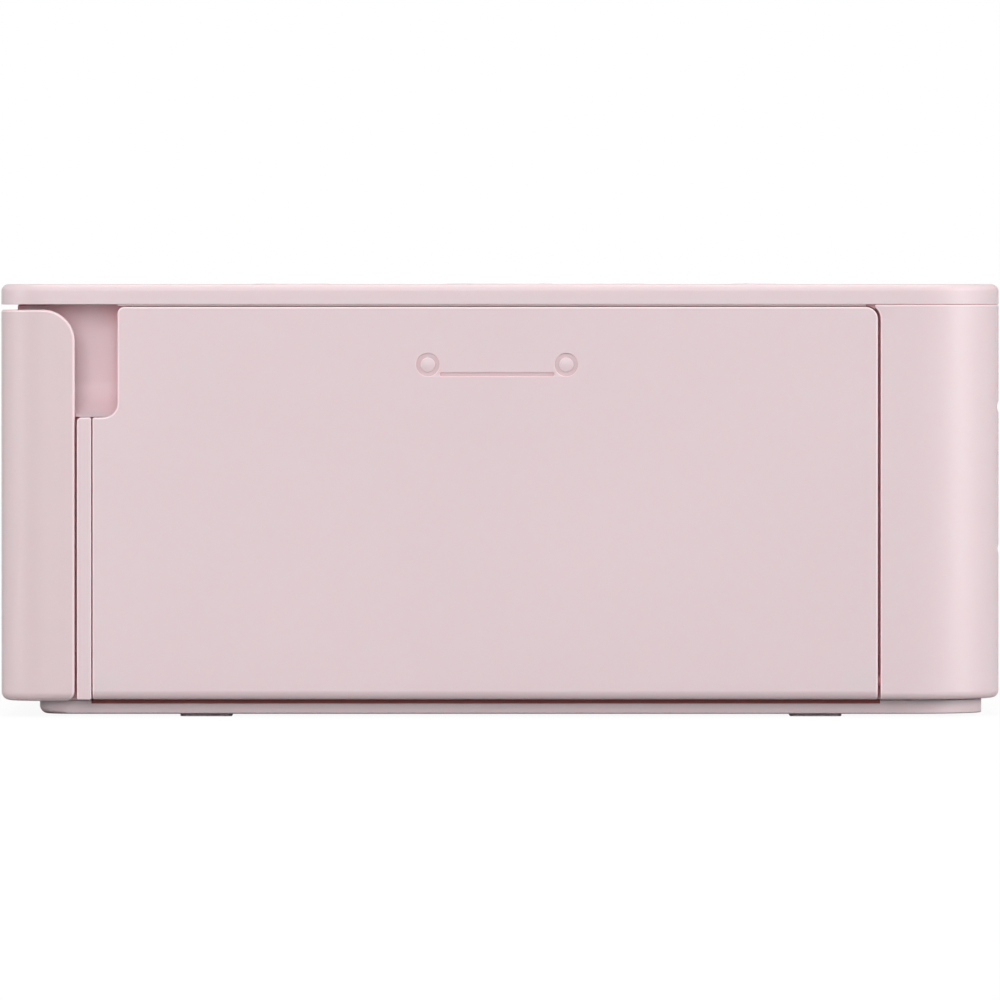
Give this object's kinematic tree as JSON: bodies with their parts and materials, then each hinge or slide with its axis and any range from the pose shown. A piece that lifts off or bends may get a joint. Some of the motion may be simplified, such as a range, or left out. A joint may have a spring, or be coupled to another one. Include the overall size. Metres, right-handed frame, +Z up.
{
  "type": "compact photo printer",
  "caption": "Compact dye-sublimation photo printer: low rounded box with hinged front paper cover, side ink door, flush top display and keys, and a geared print drive.",
  "frame": {"origin": "on the table, under the middle of the body", "axes": "+Z up, -Y towards the front paper cover, +X towards the ink door"},
  "size_m": [0.182, 0.133, 0.0576],
  "materials": {
    "shell_pink": "fine moulded satin, pale pink",
    "key_pink": "fine moulded satin, pale pink",
    "bay_pink": "moulded satin, deeper pink",
    "foot_rubber": "matte, grey",
    "window_black": "polished, near black",
    "panel_grey": "matte, dark grey",
    "board_green": "solder mask, green",
    "socket_steel": "plated",
    "black_plastic": "fine grain, black",
    "sheet_steel": "zinc plated sheet",
    "bright_steel": "ground",
    "motor_steel": "plated can",
    "head_alu": "extruded, bare",
    "head_ceramic": "glazed",
    "gear_white": "acetal, off-white",
    "roller_rubber": "ground, black",
    "knurled_steel": "finely roughened",
    "ribbon_magenta": "glossy film, magenta",
    "ribbon_yellow": "glossy film, yellow",
    "lever_green": "satin, soft green"
  },
  "bodies": {
    "body": {"top_plate": "shell_pink", "casing": "shell_pink", "base_plate": "shell_pink", "front_frame": "shell_pink", "paper_bay": "bay_pink", "hinge_pins": "shell_pink", "ink_bay": "bay_pink", "rear_panel": "shell_pink", "feet": "foot_rubber", "lcd_window": "window_black", "lcd_panel": "panel_grey", "control_board": "board_green", "io_board": "board_green", "usb_port": "socket_steel", "card_slot": "black_plastic", "dc_jack": "black_plastic", "chassis": "sheet_steel", "drive_bracket": "sheet_steel", "paper_guides": "black_plastic", "lift_motor": "motor_steel", "main_motor": "motor_steel", "ribbon_motor": "motor_steel", "roller_bushes": "gear_white", "cassette_frame": "black_plastic", "ribbon_film": "ribbon_magenta", "main_board": "board_green", "screws": "bright_steel"},
    "front_cover": {"front_cover": "shell_pink"},
    "ink_door": {"ink_door": "shell_pink"},
    "print_head": {"head_heatsink": "head_alu", "head_strip": "head_ceramic", "head_shaft": "bright_steel", "lift_sector": "gear_white"},
    "lift_pinion": {"lift_pinion": "gear_white"},
    "platen": {"platen_roller": "roller_rubber", "platen_shaft": "bright_steel", "platen_gear": "gear_white"},
    "reduction_gear": {"reduction_gear": "gear_white"},
    "motor_pinion": {"motor_pinion": "gear_white"},
    "idler_gear": {"idler_gear": "gear_white"},
    "capstan": {"capstan_shaft": "knurled_steel", "capstan_gear": "gear_white"},
    "pinch_roller": {"pinch_roller": "roller_rubber"},
    "pickup_idler": {"pickup_idler": "gear_white"},
    "pickup": {"pickup_roller": "roller_rubber", "pickup_gear": "gear_white"},
    "takeup": {"takeup_hub": "gear_white", "takeup_spool": "ribbon_magenta"},
    "ribbon_pinion": {"ribbon_pinion": "gear_white"},
    "supply": {"supply_spool": "ribbon_yellow"},
    "release_lever": {"release_lever": "lever_green"},
    "power_button": {"power_button": "key_pink"},
    "home_button": {"home_button": "key_pink"},
    "back_button": {"back_button": "key_pink"},
    "up_key": {"up_key": "key_pink"},
    "right_key": {"right_key": "key_pink"},
    "down_key": {"down_key": "key_pink"},
    "left_key": {"left_key": "key_pink"},
    "ok_button": {"ok_button": "key_pink"},
    "print_button": {"print_button": "key_pink"}
  },
  "joints": [
    {"name": "front_cover_hinge", "type": "hinge", "parent": "body", "child": "front_cover", "pos_m": [0, -0.0631, 0.0037], "axis": [1, 0, 0], "range_deg": [0, 90]},
    {"name": "ink_door_hinge", "type": "hinge", "parent": "body", "child": "ink_door", "pos_m": [0.0892, 0, 0.0048], "axis": [0, 1, 0], "range_deg": [0, 90]},
    {"name": "head_lift", "type": "hinge", "parent": "body", "child": "print_head", "pos_m": [0, 0.058, 0.047], "axis": [1, 0, 0], "range_deg": [0, 10.5]},
    {"name": "lift_pinion_spin", "type": "hinge", "parent": "body", "child": "lift_pinion", "pos_m": [0, 0.04612, 0.03512], "axis": [1, 0, 0], "range_deg": [-30, 2]},
    {"name": "platen_spin", "type": "hinge", "parent": "body", "child": "platen", "pos_m": [0, 0.0205, 0.0174], "axis": [1, 0, 0], "continuous": true},
    {"name": "reduction_spin", "type": "hinge", "parent": "body", "child": "reduction_gear", "pos_m": [0, 0.00624, 0.0194], "axis": [1, 0, 0], "continuous": true},
    {"name": "motor_pinion_spin", "type": "hinge", "parent": "body", "child": "motor_pinion", "pos_m": [0, -0.01291, 0.01806], "axis": [1, 0, 0], "continuous": true},
    {"name": "idler_spin", "type": "hinge", "parent": "body", "child": "idler_gear", "pos_m": [0, 0.03354, 0.02799], "axis": [1, 0, 0], "continuous": true},
    {"name": "capstan_spin", "type": "hinge", "parent": "body", "child": "capstan", "pos_m": [0, 0.034, 0.016], "axis": [1, 0, 0], "continuous": true},
    {"name": "pinch_spin", "type": "hinge", "parent": "body", "child": "pinch_roller", "pos_m": [0, 0.034, 0.0224], "axis": [1, 0, 0], "continuous": true},
    {"name": "pickup_idler_spin", "type": "hinge", "parent": "body", "child": "pickup_idler", "pos_m": [0, -0.02917, 0.02232], "axis": [1, 0, 0], "continuous": true},
    {"name": "pickup_spin", "type": "hinge", "parent": "body", "child": "pickup", "pos_m": [0, -0.026, 0.038], "axis": [1, 0, 0], "continuous": true},
    {"name": "takeup_spin", "type": "hinge", "parent": "body", "child": "takeup", "pos_m": [0, -0.002, 0.035], "axis": [1, 0, 0], "continuous": true},
    {"name": "ribbon_pinion_spin", "type": "hinge", "parent": "body", "child": "ribbon_pinion", "pos_m": [0, 0.00726, 0.04603], "axis": [1, 0, 0], "continuous": true},
    {"name": "supply_spin", "type": "hinge", "parent": "body", "child": "supply", "pos_m": [0, 0.042, 0.035], "axis": [1, 0, 0], "continuous": true},
    {"name": "release_slide", "type": "slide", "parent": "body", "child": "release_lever", "axis": [0, -1, 0], "range_m": [0, 0.0025], "stiffness_N_per_m": 250},
    {"name": "power_button_press", "type": "slide", "parent": "body", "child": "power_button", "axis": [0, 0, -1], "range_m": [0, 0.0006], "stiffness_N_per_m": 600},
    {"name": "home_button_press", "type": "slide", "parent": "body", "child": "home_button", "axis": [0, 0, -1], "range_m": [0, 0.0006], "stiffness_N_per_m": 600},
    {"name": "back_button_press", "type": "slide", "parent": "body", "child": "back_button", "axis": [0, 0, -1], "range_m": [0, 0.0006], "stiffness_N_per_m": 600},
    {"name": "up_key_press", "type": "slide", "parent": "body", "child": "up_key", "axis": [0, 0, -1], "range_m": [0, 0.0006], "stiffness_N_per_m": 600},
    {"name": "right_key_press", "type": "slide", "parent": "body", "child": "right_key", "axis": [0, 0, -1], "range_m": [0, 0.0006], "stiffness_N_per_m": 600},
    {"name": "down_key_press", "type": "slide", "parent": "body", "child": "down_key", "axis": [0, 0, -1], "range_m": [0, 0.0006], "stiffness_N_per_m": 600},
    {"name": "left_key_press", "type": "slide", "parent": "body", "child": "left_key", "axis": [0, 0, -1], "range_m": [0, 0.0006], "stiffness_N_per_m": 600},
    {"name": "ok_button_press", "type": "slide", "parent": "body", "child": "ok_button", "axis": [0, 0, -1], "range_m": [0, 0.0006], "stiffness_N_per_m": 600},
    {"name": "print_button_press", "type": "slide", "parent": "body", "child": "print_button", "axis": [0, 0, -1], "range_m": [0, 0.0006], "stiffness_N_per_m": 600}
  ],
  "couplings": [
    {"joint": "lift_pinion_spin", "follows": "head_lift", "ratio": -2.5},
    {"joint": "reduction_spin", "follows": "platen_spin", "ratio": -2},
    {"joint": "motor_pinion_spin", "follows": "platen_spin", "ratio": 6},
    {"joint": "idler_spin", "follows": "platen_spin", "ratio": -1.3333},
    {"joint": "capstan_spin", "follows": "platen_spin", "ratio": 2},
    {"joint": "pinch_spin", "follows": "platen_spin", "ratio": -2.6923},
    {"joint": "pickup_idler_spin", "follows": "platen_spin", "ratio": -2.4},
    {"joint": "pickup_spin", "follows": "platen_spin", "ratio": 1.0286},
    {"joint": "ribbon_pinion_spin", "follows": "takeup_spin", "ratio": -2},
    {"joint": "supply_spin", "follows": "takeup_spin", "ratio": 0.83333}
  ]
}
